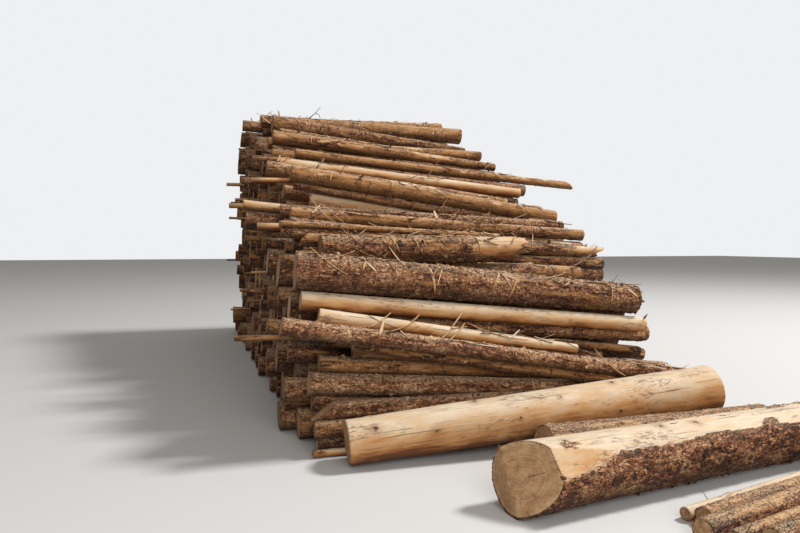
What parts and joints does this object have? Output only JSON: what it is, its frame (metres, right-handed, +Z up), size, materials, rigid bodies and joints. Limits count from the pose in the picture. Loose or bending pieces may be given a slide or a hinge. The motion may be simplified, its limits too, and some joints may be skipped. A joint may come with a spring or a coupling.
{
  "type": "stack of logs",
  "caption": "Roadside stack of three-metre logs with a stepped near end, two big logs at its foot and a pole jutting from its side.",
  "frame": {"origin": "middle of the stack's footprint, on the floor", "axes": "+X along the logs towards the field side, +Y along the stack away from its stepped near end, +Z up"},
  "size_m": [4.5704, 9.2018, 3.603],
  "materials": {
    "bark_log": "matte",
    "weathered_log": "matte",
    "peeled_wood": "matte"
  },
  "bodies": {
    "root": {"bottom_pole_pale": "peeled_wood", "bottom_pole_red": "bark_log", "bright_peeled_log": "peeled_wood", "broken_bark_log": "bark_log", "foot_bearer_log": "bark_log", "foot_log_hewn": "bark_log", "foot_log_peeled": "peeled_wood", "foot_pole_1": "bark_log", "foot_pole_2": "bark_log", "foot_pole_3": "bark_log", "foot_pole_4": "bark_log", "foot_pole_5": "bark_log", "inner_logs_layer_01": "weathered_log", "inner_logs_layer_02": "weathered_log", "inner_logs_layer_03": "weathered_log", "inner_logs_layer_04": "weathered_log", "inner_logs_layer_05": "weathered_log", "inner_logs_layer_06": "weathered_log", "inner_logs_layer_07": "weathered_log", "inner_logs_layer_08": "weathered_log", "inner_logs_layer_09": "weathered_log", "inner_logs_layer_10": "weathered_log", "inner_logs_layer_11": "weathered_log", "inner_logs_layer_12": "weathered_log", "inner_logs_layer_13": "weathered_log", "jutting_pole": "bark_log", "long_bark_log": "bark_log", "long_thin_pole": "bark_log", "orange_ended_log": "bark_log", "pale_ended_pole": "peeled_wood", "patchy_orange_log": "bark_log", "peeled_log_pale": "peeled_wood", "peeled_log_yellow": "peeled_wood", "ridge_log": "bark_log", "slant_cut_pole": "bark_log", "slope_log_01": "bark_log", "slope_log_02": "bark_log", "slope_log_03": "bark_log", "slope_log_04": "bark_log", "slope_log_05": "bark_log", "slope_log_06": "bark_log", "slope_log_07": "bark_log", "slope_log_08": "bark_log", "slope_log_09": "bark_log", "slope_log_10": "bark_log", "slope_log_11": "bark_log", "slope_log_12": "bark_log", "slope_log_13": "bark_log", "slope_log_14": "bark_log", "speckled_red_log": "bark_log", "splintered_pole": "bark_log", "thick_bark_log": "bark_log", "thin_bark_pole": "bark_log", "top_log_1": "bark_log", "top_log_2": "bark_log", "top_log_3": "bark_log", "under_pale_log": "peeled_wood", "valley_log": "bark_log", "yellow_ended_log": "bark_log", "yellow_ended_pole": "bark_log"}
  },
  "joints": []
}
